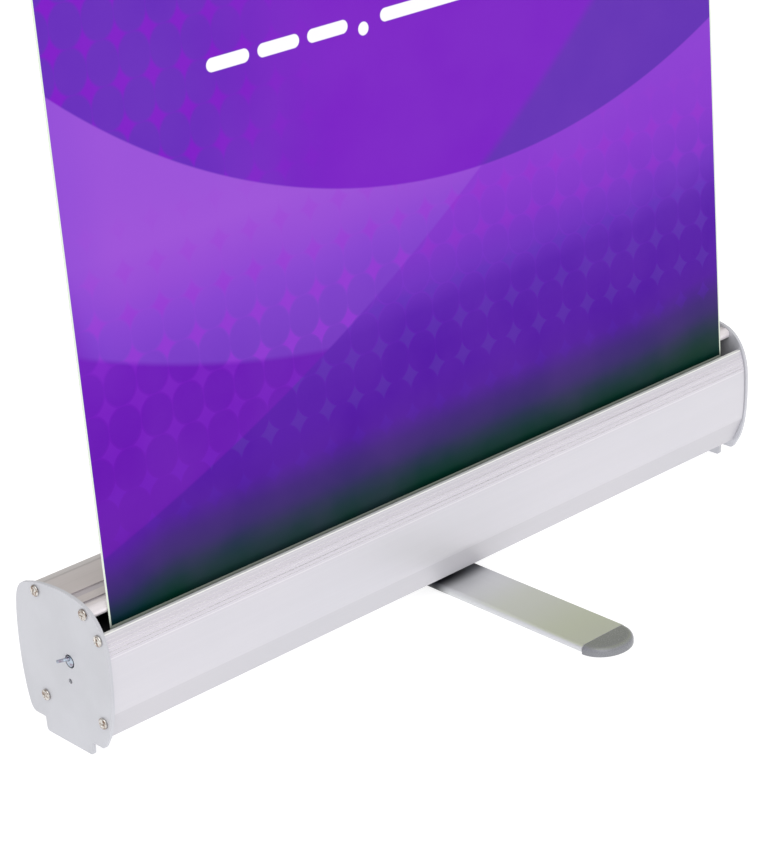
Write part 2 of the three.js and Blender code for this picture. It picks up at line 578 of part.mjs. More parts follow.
// The pole head closes the upper tube. Its tongue stands in the groove along the back of the rail.
function poleHead() {
  const tubeTop = SECTION_TOP[2];
  const r = SECTION_R[2];
  const spigotR = r - POLE_WALL - 0.1;
  const profile = [[0, tubeTop - 18], [spigotR, tubeTop - 18], [spigotR, tubeTop + 0.2],
    [r + 0.3, tubeTop + 0.2], [r + 0.3, tubeTop + 9], [r - 1, tubeTop + 10.5], [0, tubeTop + 10.5]];
  const cap = toSolid(turnedAt(profile, 0, POLE_Y, 0, 24));
  const place = new THREE.Matrix4().compose(leaning.position,
    new THREE.Quaternion().setFromEuler(leaning.rotation), new THREE.Vector3(1, 1, 1));
  const inPlane = (y0, y1, z0, z1) => {
    const g = new THREE.BoxGeometry(14, y1 - y0, z1 - z0);
    g.translate(0, (y0 + y1) / 2, RAIL_BOTTOM + (z0 + z1) / 2);
    return toSolid(g.applyMatrix4(place));
  };
  return join(cap, inPlane(2.8, 5.6, 8.5, 27.6), inPlane(2.8, 13, 8.5, 15.5));
}
add('pole_head', poleHead(), MAT.black);

export default group;
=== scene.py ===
"""Looks of the roll-up banner stand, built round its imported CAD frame. Metres, +Z up, front towards -Y."""
import json
import math
import bmesh
import bpy
from mathutils import Matrix, Quaternion, Vector


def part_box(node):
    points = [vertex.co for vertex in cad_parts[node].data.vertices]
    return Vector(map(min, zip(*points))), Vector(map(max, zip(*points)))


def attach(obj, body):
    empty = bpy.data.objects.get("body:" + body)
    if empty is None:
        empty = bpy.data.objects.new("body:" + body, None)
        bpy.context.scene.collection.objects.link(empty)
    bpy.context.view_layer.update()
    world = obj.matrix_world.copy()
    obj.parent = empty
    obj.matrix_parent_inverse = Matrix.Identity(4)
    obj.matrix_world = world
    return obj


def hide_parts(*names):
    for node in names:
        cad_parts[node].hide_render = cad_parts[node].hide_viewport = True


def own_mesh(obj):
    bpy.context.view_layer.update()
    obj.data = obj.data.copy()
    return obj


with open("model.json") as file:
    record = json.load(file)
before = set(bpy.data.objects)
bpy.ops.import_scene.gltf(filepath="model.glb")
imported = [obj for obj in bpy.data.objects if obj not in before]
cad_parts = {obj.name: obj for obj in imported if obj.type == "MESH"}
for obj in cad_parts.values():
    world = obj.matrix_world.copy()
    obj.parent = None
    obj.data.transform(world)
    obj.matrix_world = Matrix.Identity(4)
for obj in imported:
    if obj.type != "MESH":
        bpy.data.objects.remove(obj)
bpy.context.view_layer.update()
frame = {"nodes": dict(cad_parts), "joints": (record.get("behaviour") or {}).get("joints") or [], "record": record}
NODES = frame["nodes"]
JOINTS = {joint["name"]: joint for joint in frame["joints"]}
MM = 0.001


# ---------------------------------------------------------------- places taken from the frame
def middle(node):
    low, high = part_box(node)
    return (Vector(low) + Vector(high)) / 2


UP_FILM = Vector(JOINTS["banner_raise"]["axis"]).normalized()
ACROSS = Vector((1, 0, 0))
OUT_FILM = UP_FILM.cross(ACROSS).normalized()  # away from the printed face
FILM_LOW, FILM_HIGH = (Vector(corner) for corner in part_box("banner_film"))
FILM_T = 0.3 * MM
FILM_HALF = (FILM_HIGH.x - FILM_LOW.x) / 2
FILM_FOOT = Vector((0, FILM_LOW.y + FILM_T / 2, FILM_LOW.z))
FILM_LENGTH = (FILM_HIGH.z - FILM_LOW.z) / UP_FILM.z
PULL = sum(JOINTS[f"pole_{part}_pull"]["range_m"][1] for part in ("lower", "middle", "upper"))
POLE = middle("pole_lower")
AXLE = middle("roller_tube")
PRINT_RISE = 6.0  # the artwork's zero line is this many millimetres above the film's lower edge
PRINT_EDGE = -0.4  # where the print starts, in the artwork's own millimetres
SIDE_MARGIN = 1.1  # millimetres of unprinted film along each side
GLOSS_SHARE = 0.0135  # light that the film's gloss adds to a printed colour
STUDIO_SHARE = 0.911  # share of a colour that is printed, as the studio light shows it brighter


# ---------------------------------------------------------------- shader expressions
def ink(red, green, blue):
    """A printed colour: the display value less what the film's gloss and the studio light add."""
    return tuple(max(0.001, (channel - GLOSS_SHARE) * STUDIO_SHARE)
                 for channel in linear(red, green, blue)[:3]) + (1.0,)


def linear(red, green, blue):
    """A colour given as 0 to 255 display values, as the linear values that shaders use."""
    def channel(value):
        share = value / 255
        return share / 12.92 if share <= 0.04045 else ((share + 0.055) / 1.055) ** 2.4
    return (channel(red), channel(green), channel(blue), 1.0)


class Graph:
    """Writes a material's nodes as nested calls. Each call returns an output socket."""

    def __init__(self, name):
        self.material = bpy.data.materials.new(name)
        self.material.use_nodes = True
        self.tree = self.material.node_tree
        self.shader = self.tree.nodes["Principled BSDF"]

    def node(self, kind, inputs=(), **settings):
        made = self.tree.nodes.new(kind)
        for key, value in settings.items():
            setattr(made, key, value)
        for key, value in dict(inputs).items():
            self.feed(made.inputs[key], value)
        return made

    def feed(self, socket, value):
        if isinstance(value, bpy.types.NodeSocket):
            self.tree.links.new(value, socket)
        else:
            socket.default_value = value

    def set(self, **values):
        for key, value in values.items():
            self.feed(self.shader.inputs[key.replace("_", " ")], value)
        return self.material

    def math(self, operation, a, b=0.0):
        made = self.node("ShaderNodeMath", operation=operation)
        for socket, value in zip(made.inputs, (a, b)):
            self.feed(socket, value)
        return made.outputs[0]

    def add(self, a, b):
        return self.math("ADD", a, b)

    def sub(self, a, b):
        return self.math("SUBTRACT", a, b)

    def mul(self, a, b):
        return self.math("MULTIPLY", a, b)

    def length(self, a, b):
        return self.math("SQRT", self.add(self.mul(a, a), self.mul(b, b)))

    def fade(self, value, start, end, low=0.0, high=1.0):
        """low below start, high above end, and a smooth step between them."""
        inputs = {"Value": value, "From Min": start, "From Max": end, "To Min": low, "To Max": high}
        made = self.node("ShaderNodeMapRange", inputs, interpolation_type="SMOOTHSTEP")
        return made.outputs["Result"]

    def mix(self, share, a, b, blend="MIX"):
        made = self.node("ShaderNodeMix", data_type="RGBA", blend_type=blend)
        for socket, value in zip((made.inputs[0], made.inputs[6], made.inputs[7]), (share, a, b)):
            self.feed(socket, value)
        return made.outputs[2]

    def ramp(self, value, stops):
        """A colour ramp with (place, colour) stops."""
        made = self.node("ShaderNodeValToRGB", {"Fac": value})
        elements = made.color_ramp.elements
        while len(elements) < len(stops):
            elements.new(1.0)
        for element, (place, color) in zip(elements, stops):
            element.position = place
            element.color = color
        return made.outputs["Color"]

    def axes(self, vector):
        made = self.node("ShaderNodeSeparateXYZ", {"Vector": vector})
        return made.outputs["X"], made.outputs["Y"], made.outputs["Z"]

    def facing(self):
        """The parts along X, Y and Z of the direction that the surface faces."""
        return self.axes(self.node("ShaderNodeNewGeometry").outputs["True Normal"])

    def coordinates(self, scale=(1, 1, 1)):
        place = self.node("ShaderNodeTexCoord").outputs["Object"]
        return self.node("ShaderNodeMapping", {"Vector": place, "Scale": scale}).outputs["Vector"]

    def noise(self, vector, scale, detail=3.0, roughness=0.5):
        inputs = {"Vector": vector, "Scale": scale, "Detail": detail, "Roughness": roughness}
        return self.node("ShaderNodeTexNoise", inputs).outputs["Fac"]

    def bump(self, height, distance, strength=1.0):
        inputs = {"Height": height, "Distance": distance, "Strength": strength}
        return self.node("ShaderNodeBump", inputs).outputs["Normal"]


# ---------------------------------------------------------------- metals, plastics and rubber
# Bands and heights are in millimetres in the frame's own axes.
# Painted shade for the inner walls that are seen through the slot.
INNER_PAINTED_SHADE = linear(52, 52, 55)
# Colours of the painted reflection on the foot's top, towards its middle and its ends.
FOOT_MIDDLE_REFLECTION = linear(204, 209, 192)
FOOT_END_REFLECTION = linear(203, 212, 177)
# The recesses get painted shade.
COVER_SHADED_RECESSES = [(-14.2, 3.0), (-25.5, 1.1)]  # middle and half width of the recesses, along Y
GROOVE_LOW = 81.85  # middle of the lowest groove along the casing's front
GROOVE_PITCH = 2.4
# Noise is stretched along the direction in which a metal was drawn: fine die lines and broader bands.
LINES = {"x": (4, 1400, 1400), "y": (1400, 4, 1400), "z": (1400, 1400, 4)}
BANDS = {"x": (1.5, 160, 160), "y": (160, 1.5, 160), "z": (160, 160, 1.5)}


def tinted(color, factor):
    return tuple(min(1.0, channel * factor) for channel in color[:3]) + (1.0,)


def inner_shade_mask(g):
    """Painted shade: 1 on the walls that face the roller, which look dark through the slot."""
    _, y, z = g.axes(g.coordinates())
    _, facing_y, facing_z = g.facing()
    outward = g.add(g.mul(facing_y, g.sub(y, AXLE.y)), g.mul(facing_z, g.sub(z, AXLE.z)))
    behind_lip = g.math("MAXIMUM", g.fade(z, 84 * MM, 88 * MM, 1.0, 0.0), g.fade(y, -38 * MM, -34 * MM))
    return g.mul(behind_lip, g.fade(outward, -3 * MM, -1 * MM, 1.0, 0.0))


def drawn_metal(name, color, direction, roughness=0.38, metallic=0.7, shade=None, streak=0.06):
    """Satin anodised aluminium with the fine die lines of an extrusion along one direction."""
    g = Graph(name)
    lines = g.noise(g.coordinates(LINES[direction]), 1.0, 2.0)
    bands = g.noise(g.coordinates(BANDS[direction]), 1.0, 2.0)
    cloud = g.noise(g.coordinates(), 9.0, 3.0)
    streaks = g.fade(g.add(g.mul(lines, 0.5), g.mul(bands, 0.5)), 0.3, 0.7)
    tone = g.mix(streaks, tinted(color, 1 - streak), tinted(color, 1 + streak))
    tone = g.mix(g.fade(cloud, 0.35, 0.75, 0.0, 0.12), tone, (0.86, 0.80, 0.84, 1.0))
    if shade:
        tone = shade(g, tone)
    rough = g.add(g.mul(lines, 0.10), g.add(g.mul(cloud, 0.08), roughness - 0.09))
    return g.set(Base_Color=tone, Metallic=metallic, Roughness=rough,
                 Normal=g.bump(g.add(lines, bands), 0.02 * MM, 0.5))


def casing_painted_light(g, tone):
    """Painted shade below the crease, faint pink and painted light round the fine grooves, a painted highlight on
    the lip's top and painted shade inside.
    """
    _, _, z = g.axes(g.coordinates())
    # Painted shade darkens the front below its crease.
    below = g.fade(z, 37.6 * MM, 38.8 * MM, 1.0, 0.0)
    tone = g.mix(below, tone, (0.90, 0.90, 0.90, 1.0), "MULTIPLY")
    grooved = g.mul(g.fade(z, 76 * MM, 82 * MM), g.fade(z, 90 * MM, 94 * MM, 1.0, 0.35))
    tone = g.mix(grooved, tone, (1.0, 0.975, 0.995, 1.0), "MULTIPLY")
    # Painted light lifts the shade in the fine grooves.
    turns = g.math("DIVIDE", g.sub(z, GROOVE_LOW * MM), GROOVE_PITCH * MM)
    in_groove = g.fade(g.math("ABSOLUTE", g.sub(g.math("FRACT", turns), 0.5)), 0.34, 0.38)
    tone = g.mix(g.mul(in_groove, g.mul(grooved, 0.55)), tone, (1.0, 0.99, 1.0, 1.0))
    # Painted highlight along the top edge of the lip.
    tone = g.mix(g.fade(z, 94.6 * MM, 95.3 * MM), tone, linear(252, 253, 248))
    return g.mix(inner_shade_mask(g), tone, INNER_PAINTED_SHADE)


def cover_painted_light(g, tone):
    """The recesses get painted shade, the front painted light and the inner walls painted shade; the rear edge is
    darker.
    """
    _, y, _ = g.axes(g.coordinates())
    # Painted shade in the two recesses.
    for middle_y, half in COVER_SHADED_RECESSES:
        offset = g.math("ABSOLUTE", g.sub(y, middle_y * MM))
        band = g.fade(offset, half * MM, (half + 0.5) * MM, 1.0, 0.0)
        tone = g.mix(band, tone, (0.86, 0.86, 0.92, 1.0), "MULTIPLY")
    # Painted light towards the front.
    tone = g.mix(g.fade(y, -24 * MM, -33 * MM), tone, linear(244, 238, 241))
    tone = g.mix(g.fade(y, 19.5 * MM, 20.5 * MM), tone, (0.86, 0.87, 0.87, 1.0), "MULTIPLY")
    return g.mix(inner_shade_mask(g), tone, INNER_PAINTED_SHADE)


def foot_painted_light(g, tone):
    """The top is greener towards its ends as a painted reflection, the sides are pale, and painted shade darkens
    it under the cassette.
    """
    _, y, _ = g.axes(g.coordinates())
    reach = g.math("ABSOLUTE", y)
    _, _, facing_up = g.facing()
    top = g.fade(facing_up, 0.35, 0.9)
    # Painted reflection: the top turns greener towards the ends.
    tone = g.mix(g.fade(reach, 45 * MM, 95 * MM), tone, FOOT_MIDDLE_REFLECTION)
    tone = g.mix(g.fade(reach, 90 * MM, 150 * MM), tone, FOOT_END_REFLECTION)
    tone = g.mix(top, linear(212, 214, 216), tone)
    # Painted shade under the cassette.
    return g.mix(g.fade(reach, 24 * MM, 41 * MM, 1.0, 0.0), tone, linear(30, 30, 38))


def powder_coat(name, color):
    """Fine orange peel with a few lighter specks."""
    g = Graph(name)
    place = g.coordinates()
    peel = g.noise(place, 1100.0, 2.0)
    cloud = g.noise(place, 30.0, 3.0)
    speck = g.fade(g.noise(place, 2600.0, 1.0), 0.66, 0.74)
    tone = g.mix(g.fade(cloud, 0.3, 0.7), color, tinted(color, 1.06))
    tone = g.mix(g.mul(speck, 0.25), tone, (0.9, 0.9, 0.92, 1.0))
    return g.set(Base_Color=tone, Metallic=0.25, Roughness=g.add(g.mul(peel, 0.12), 0.40),
                 Normal=g.bump(peel, 0.03 * MM, 0.6))


def plated_steel(name, bright, stained, roughness):
    """Thin bright plating with stained patches and fine scratches."""
    g = Graph(name)
    place = g.coordinates()
    patches = g.fade(g.noise(place, 420.0, 4.0), 0.42, 0.66)
    scratches = g.fade(g.noise(g.coordinates((900, 900, 6000)), 1.0, 2.0), 0.55, 0.72)
    tone = g.mix(patches, bright, stained)
    tone = g.mix(g.mul(scratches, 0.25), tone, (0.92, 0.92, 0.92, 1.0))
    return g.set(Base_Color=tone, Metallic=1.0, Roughness=g.add(g.mul(patches, 0.16), roughness),
                 Normal=g.bump(scratches, 0.01 * MM, 0.4))


def cap_painted_reflection(g, tone):
    """Painted reflection: the cap's top is more olive than its rounded side."""
    _, _, facing_up = g.facing()
    return g.mix(g.fade(facing_up, 0.6, 1.0), tone, linear(137, 143, 126))


def moulded(name, color, grain=1800.0, roughness=0.46, depth=0.03, shade=None):
    """Moulded plastic with an eroded grain and slightly polished high spots."""
    g = Graph(name)
    place = g.coordinates()
    fine = g.noise(place, grain, 3.0, 0.6)
    cloud = g.noise(place, 45.0, 2.0)
    light = tuple(min(1.0, channel * 1.18 + 0.004) for channel in color[:3]) + (1.0,)
    patches = g.fade(g.add(g.mul(fine, 0.6), g.mul(cloud, 0.4)), 0.35, 0.65)
    tone = g.mix(patches, color, light)
    if shade:
        tone = shade(g, tone)
    return g.set(Base_Color=tone, Roughness=g.add(g.mul(fine, 0.2), roughness - 0.1),
                 Normal=g.bump(fine, depth * MM, 0.7))


def rubber(name):
    g = Graph(name)
    place = g.coordinates()
    fine = g.noise(place, 1500.0, 4.0)
    dust = g.fade(g.noise(place, 160.0, 4.0), 0.52, 0.72)
    tone = g.mix(g.mul(dust, 0.35), linear(38, 38, 40), linear(96, 94, 90))
    return g.set(Base_Color=tone, Roughness=g.add(g.mul(fine, 0.1), 0.8),
                 Normal=g.bump(fine, 0.05 * MM, 0.8))


def braid(name):
    """Black braided elastic: two crossing sets of slanted threads."""
    g = Graph(name)
    waves = []
    for side in (-1, 1):
        inputs = {"Vector": g.coordinates((side, 1, 1)), "Scale": 190.0, "Distortion": 0.4}
        wave = g.node("ShaderNodeTexWave", inputs, bands_direction="DIAGONAL")
        waves.append(wave.outputs["Fac"])
    threads = g.math("MAXIMUM", *waves)
    tone = g.mix(g.fade(threads, 0.3, 0.9), linear(16, 16, 17), linear(52, 52, 54))
    tone = g.mix(g.mul(g.noise(g.coordinates(), 900.0), 0.2), tone, linear(90, 90, 92))
    return g.set(Base_Color=tone, Roughness=0.85, Normal=g.bump(threads, 0.2 * MM))


def plain_film(name, deeper_tone, paler_tone):
    """Unprinted film with a faint calendered grain."""
    g = Graph(name)
    place = g.coordinates()
    fine = g.noise(place, 900.0, 3.0)
    cloud = g.noise(place, 6.0, 3.0)
    patches = g.fade(g.add(g.mul(fine, 0.3), g.mul(cloud, 0.7)), 0.35, 0.65)
    tone = g.mix(patches, deeper_tone, paler_tone)
    return g.set(Base_Color=tone, Roughness=g.add(g.mul(fine, 0.1), 0.42),
                 Normal=g.bump(fine, 0.02 * MM, 0.5))


# ---------------------------------------------------------------- printed artwork
# Places on the print are in millimetres: x from its middle, s up the film from the artwork's zero line.
VIOLET = ink(127, 43, 201)
BLUE_VIOLET = ink(104, 57, 185)
DOT_BLUE = ink(107, 54, 191)
# Circles are (x of the centre, s of the centre, radius).
BIG_CIRCLE = (63.4, 775.4, 559.6)
SWEEP = (-686.6, 1309.3, 1321.3)
SOFT_ARC = (29.9, 965.4, 848.5)
# Colours up the film are (s, display colour): the ground right of the sweep, left of it and inside the
# soft arc, and then the star-shaped gaps in the same three places.
RAMP_SPAN = 320.0
RIGHT_STOPS = [(4, (29, 64, 54)), (12, (33, 61, 62)), (21, (44, 57, 82)), (31, (60, 50, 110)),
               (42, (68, 46, 125)), (60, (86, 35, 162)), (78, (88, 33, 169)), (100, (92, 35, 174)),
               (128, (100, 42, 183)), (150, (119, 56, 200)), (174, (135, 60, 209)),
               (200, (144, 64, 214)), (250, (145, 70, 214))]
LEFT_STOPS = [(50, (104, 34, 173)), (80, (109, 35, 181)), (140, (115, 35, 190)), (170, (120, 38, 195))]
LIGHT_STOPS = [(125, (120, 60, 196)), (148, (125, 66, 202)), (170, (132, 70, 208)),
               (190, (141, 75, 214)), (212, (152, 81, 217)), (240, (160, 89, 220)),
               (300, (157, 88, 220))]
STAR_STOPS = [(50, (84, 36, 171)), (85, (91, 48, 172)), (114, (95, 51, 178)), (142, (103, 55, 190)),
              (171, (140, 56, 207)), (205, (150, 60, 212)), (240, (145, 70, 214))]
LEFT_STAR_STOPS = [(50, (110, 34, 187)), (85, (114, 38, 190)), (120, (120, 39, 194)),
                   (150, (124, 41, 197)), (178, (130, 42, 202))]
LIGHT_STAR_STOPS = [(130, (143, 61, 212)), (190, (150, 66, 215)), (225, (159, 76, 218)),
                    (280, (163, 84, 220))]
# What the ground is multiplied by in the dots, in the dots inside the soft arc and near the left edge.
DOT_SHADE = (0.90, 0.96, 0.95, 1.0)
LIGHT_DOT_SHADE = (0.93, 0.98, 0.975, 1.0)
LEFT_EDGE_SHADE = (0.84, 0.84, 0.97, 1.0)
# Rows of dots are (pitch along x, pitch along s, x of a dot, s of a dot).
LATTICE = (25.65, 28.45, -282.3, 85.3)
TOP_LATTICE = (24.2, 28.2, -290.3, 345.0)
# White bars stand where a line of text would be: first x, last x, s of the middle, height.
BARS = [(-176, -141, 339, 9), (-134, -99, 339, 9), (-92, -57, 339, 9), (-48, -39, 334, 9),
        (-28, 62, 339, 9), (72, 130, 339, 9), (-205, 175, 1150, 34), (-205, 60, 1085, 34),
        (-205, 120, 1018, 13), (-205, 150, 984, 13), (-205, 20, 950, 13)]


def art_ramp(g, s, stops):
    shares = [(place / RAMP_SPAN, ink(*color)) for place, color in stops]
    return g.ramp(g.math("DIVIDE", s, RAMP_SPAN), shares)


def inside(g, x, s, circle, soft):
    """1 inside a circle, fading to 0 within soft millimetres on each side of its edge."""
    centre_x, centre_s, radius = circle
    distance = g.length(g.sub(x, centre_x), g.sub(s, centre_s))
    return g.fade(distance, radius - soft, radius + soft, 1.0, 0.0)


def to_nearest(g, value, first, pitch):
    """How far a value is from the middle of its lattice cell, as a share of the pitch."""
    cell = g.add(g.math("DIVIDE", g.sub(value, first), pitch), 20.5)
    return g.sub(0.5, g.math("ABSOLUTE", g.sub(g.math("FRACT", cell), 0.5)))


def dot_pattern(g, x, s, lattice, reach, soft):
    """1 inside the round dots, and 1 in the four-pointed gaps further than reach from the dots' middles."""
    pitch_x, pitch_s, first_x, first_s = lattice
    distance = g.length(to_nearest(g, x, first_x, pitch_x), to_nearest(g, s, first_s, pitch_s))
    dot = g.fade(distance, 0.475, 0.495, 1.0, 0.0)
    return dot, g.fade(distance, g.sub(reach, soft), g.add(reach, soft))


def bar_mask(g, x, s, bar):
    """1 inside a bar with round ends."""
    first, last, mid, height = bar
    half = height / 2
    from_middle = g.math("ABSOLUTE", g.sub(x, (first + last) / 2))
    past_end = g.math("MAXIMUM", g.sub(from_middle, (last - first) / 2 - half), 0.0)
    distance = g.length(past_end, g.sub(s, mid))
    return g.fade(distance, half - 0.4, half + 0.4, 1.0, 0.0)


def ground(g, x, s, sweep, soft_arc):
    """The print's lower part without its dots."""
    left = g.mix(soft_arc, art_ramp(g, s, LEFT_STOPS), art_ramp(g, s, LIGHT_STOPS))
    edge_shade = g.mul(g.fade(x, -300.0, -258.0, 1.0, 0.0), g.fade(s, 190.0, 330.0, 1.0, 0.5))
    left = g.mix(g.mul(soft_arc, edge_shade), left, LEFT_EDGE_SHADE, "MULTIPLY")
    slant = g.sub(g.fade(x, -292.0, -240.0, 12.0, 0.0), g.fade(x, 190.0, 300.0, 0.0, 9.0))
    return g.mix(sweep, art_ramp(g, g.add(s, slant), RIGHT_STOPS), left)


def dotted_ground(g, x, s, sweep, soft_arc, under):
    """The ground with its darker dots and the brighter stars between them."""
    reach = g.fade(s, 40.0, 80.0, 0.55, 0.53)
    dot, gap = dot_pattern(g, x, s, LATTICE, reach, g.fade(s, 110.0, 210.0, 0.014, 0.05))
    left_star = g.mix(soft_arc, art_ramp(g, s, LEFT_STAR_STOPS), art_ramp(g, s, LIGHT_STAR_STOPS))
    star = g.mix(sweep, art_ramp(g, s, STAR_STOPS), left_star)
    dot_shade = g.mix(g.mul(sweep, soft_arc), DOT_SHADE, LIGHT_DOT_SHADE)
    dots_show = g.mul(g.fade(s, 150.0, 250.0, 1.0, 0.0), g.fade(s, 70.0, 130.0, 0.2, 1.0))
    stars_show = g.mul(g.fade(s, 190.0, 290.0, 1.0, 0.0), g.fade(s, 40.0, 80.0))
    under = g.mix(g.mul(dot, dots_show), under, dot_shade, "MULTIPLY")
    return g.mix(g.mul(gap, stars_show), under, star)


def circle_fill(g, x, s):
    """The big circle is violet inside the sweep, with dots at its lower left, and bluer outside it."""
    dot, gap = dot_pattern(g, x, s, TOP_LATTICE, 0.525, 0.04)
    dots_show = g.mul(g.fade(x, -225.0, -60.0, 1.0, 0.0), g.fade(s, 520.0, 800.0, 1.0, 0.0))
    dotted = g.mix(dot, ink(112, 51, 194), DOT_BLUE)
    dotted = g.mix(g.mul(gap, 0.9), dotted, ink(133, 38, 204))
    return g.mix(inside(g, x, s, SWEEP, 5.0), BLUE_VIOLET, g.mix(dots_show, VIOLET, dotted))


def artwork(g, x, s):
    """Violet print: a big circle, a sweep, a soft arc, a dark foot and round dots with starry gaps."""
    sweep = inside(g, x, s, SWEEP, 1.2)
    soft_arc = inside(g, x, s, SOFT_ARC, 2.5)
    soft_arc = g.mul(soft_arc, g.fade(g.add(x, g.mul(g.sub(s, 150.0), 0.38)), -304.0, -262.0))
    under = dotted_ground(g, x, s, sweep, soft_arc, ground(g, x, s, sweep, soft_arc))
    upper = g.mix(g.fade(s, 1150.0, 1590.0), ink(157, 88, 220), ink(96, 40, 172))
    outside = g.mix(g.fade(s, 700.0, 900.0), under, upper)
    color = g.mix(inside(g, x, s, BIG_CIRCLE, 0.8), outside, circle_fill(g, x, s))
    white = 0.0
    for bar in BARS:
        white = g.math("MAXIMUM", white, bar_mask(g, x, s, bar))
    return g.mix(white, color, linear(250, 249, 252))


def printed_film(name):
    g = Graph(name)
    x, s, _ = g.axes(g.node("ShaderNodeAttribute", attribute_name="print_place").outputs["Vector"])
    print_half = FILM_HALF / MM - SIDE_MARGIN
    side = g.fade(g.math("ABSOLUTE", x), print_half - 0.4, print_half)
    foot = g.fade(s, PRINT_EDGE - 0.2, PRINT_EDGE + 0.2, 1.0, 0.0)
    color = g.mix(g.math("MAXIMUM", side, foot), artwork(g, x, s), linear(229, 240, 224))
    place = g.coordinates()
    grain = g.noise(place, 700.0, 3.0)
    cloud = g.noise(place, 14.0, 3.0)
    color = g.mix(g.fade(cloud, 0.3, 0.7, 0.0, 0.04), color, ink(190, 120, 235))
    return g.set(Base_Color=color, Roughness=g.add(g.mul(grain, 0.08), 0.36), Specular_IOR_Level=0.07,
                 Normal=g.bump(grain, 0.01 * MM, 0.4))


MATERIALS = {
    "anodised_aluminium": drawn_metal("anodised_along_x", linear(226, 224, 230), "x"),
    "casing_aluminium": drawn_metal("anodised_casing_painted_light", linear(212, 211, 217), "x", 0.44, 0.35,
                                    casing_painted_light, 0.014),
    "cover_aluminium": drawn_metal("anodised_cover_painted_light", linear(196, 189, 186), "x", 0.4, 0.5,
                                   cover_painted_light, 0.04),
    "foot_aluminium": drawn_metal("anodised_foot_painted_light", linear(208, 210, 213), "y", 0.42, 0.25,
                                  foot_painted_light, 0.02),
    "painted_plate": powder_coat("powder_coat", linear(198, 199, 205)),
    "steel_fixings": plated_steel("nickel_plate", linear(214, 211, 206), linear(128, 104, 88), 0.16),
    "zinc_steel": plated_steel("zinc_plate", linear(176, 190, 204), linear(150, 140, 156), 0.26),
    "pole_aluminium": drawn_metal("drawn_tube", linear(212, 214, 218), "z", 0.30, 0.95),
    "grey_plastic": moulded("grey_plastic", linear(124, 129, 122), roughness=0.38),
    "cap_plastic_painted_reflection": moulded("cap_plastic_painted_reflection", linear(128, 130, 134), roughness=0.26, shade=cap_painted_reflection),
    "black_plastic": moulded("black_plastic", linear(30, 30, 32), 1400.0, 0.5),
    "rubber": rubber("rubber"),
    "printed_film": printed_film("printed_film"),
    "unprinted_film": plain_film("plain_film", linear(232, 233, 230), linear(243, 244, 240)),
    # The wound roll is dark grey as painted shade inside the cassette.
    "wound_film_painted_shade": plain_film("dark_film_painted_shade", linear(84, 84, 88), linear(98, 98, 102)),
    "elastic_cord": braid("braided_elastic"),
}
# Nodes whose finish differs from that of their slot; the casing, cover, foot and wound film also carry painted
# light and shade.
OWN_FINISH_AND_PAINTED_LIGHT = {"casing_shell": "casing_aluminium", "top_cover": "cover_aluminium",
              "foot_bar": "foot_aluminium", "lock_pin": "zinc_steel", "wound_film": "wound_film_painted_shade"}
SLOT_OF = {part["node"]: part["material_slot"] for part in frame["record"]["subparts"]}


def paint(piece, material):
    piece.data.materials.clear()
    piece.data.materials.append(MATERIALS[material])


# ---------------------------------------------------------------- mesh helpers
def in_scene(obj):
    """Links a new object into the scene."""
    bpy.context.scene.collection.objects.link(obj)
    return obj


def piece_from(name, mesh, body, slot, replaced):
    """A new smooth piece that rides on a body and stands for a CAD node."""
    piece = in_scene(bpy.data.objects.new(name, mesh))
    smooth(mesh)
    paint(piece, slot)
    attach(piece, body)
    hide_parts(replaced)
    return piece


def smooth(mesh):
    for polygon in mesh.polygons:
        polygon.use_smooth = True


def sharpen(obj, angle):
    """Edges that turn by more than angle degrees stay sharp."""
    split = obj.modifiers.new("split", "EDGE_SPLIT")
    split.split_angle = math.radians(angle)


def rounded_edges(obj, width, segments, angle):
    bevel = obj.modifiers.new("bevel", "BEVEL")
    bevel.width = width
    bevel.segments = segments
    bevel.limit_method = "ANGLE"
    bevel.angle_limit = math.radians(angle)


def face_outwards(mesh):
    work = bmesh.new()
    work.from_mesh(mesh)
    bmesh.ops.recalc_face_normals(work, faces=work.faces)
    work.to_mesh(mesh)
    work.free()
    return mesh


def mesh_from(name, points, faces):
    mesh = bpy.data.meshes.new(name)
    mesh.from_pydata([tuple(point) for point in points], [], faces)
    mesh.validate()
    return mesh


def rounded(profile, radius, steps=3):
    """A (radius, height) profile with all its corners but the first and the last rounded off."""
    result = [profile[0]]
    for before, corner, after in zip(profile, profile[1:], profile[2:]):
        a, b, c = Vector(before), Vector(corner), Vector(after)
        cut = min(radius, (a - b).length * 0.45, (c - b).length * 0.45)
        start = b + (a - b).normalized() * cut
        end = b + (c - b).normalized() * cut
        for i in range(steps + 1):
            t = i / steps
            result.append(tuple(start * (1 - t) ** 2 + b * 2 * t * (1 - t) + end * t ** 2))
    result.append(profile[-1])
    return result


def turned(name, profile, sides, centre=Vector()):
    """A (radius, height) profile turned about the Z axis. It closes on itself or ends on the axis."""
    points, rings = [], []
    closed = (Vector(profile[0]) - Vector(profile[-1])).length < 1e-7
    rows = profile[:-1] if closed else profile
    for radius, height in rows:
        if radius < 1e-7:
            rings.append([len(points)] * sides)
            points.append(centre + Vector((0, 0, height)))
            continue
        rings.append(list(range(len(points), len(points) + sides)))
        for i in range(sides):
            angle = 2 * math.pi * i / sides
            points.append(centre + Vector((radius * math.cos(angle), radius * math.sin(angle), height)))
    pairs = list(zip(rings, rings[1:])) + ([(rings[-1], rings[0])] if closed else [])
    faces = []
    for lower, upper in pairs:
        for i in range(sides):
            j = (i + 1) % sides
            corners = [lower[i], lower[j], upper[j], upper[i]]
            unique = list(dict.fromkeys(corners))
            if len(unique) > 2:
                faces.append(unique)
    return face_outwards(mesh_from(name, points, faces))


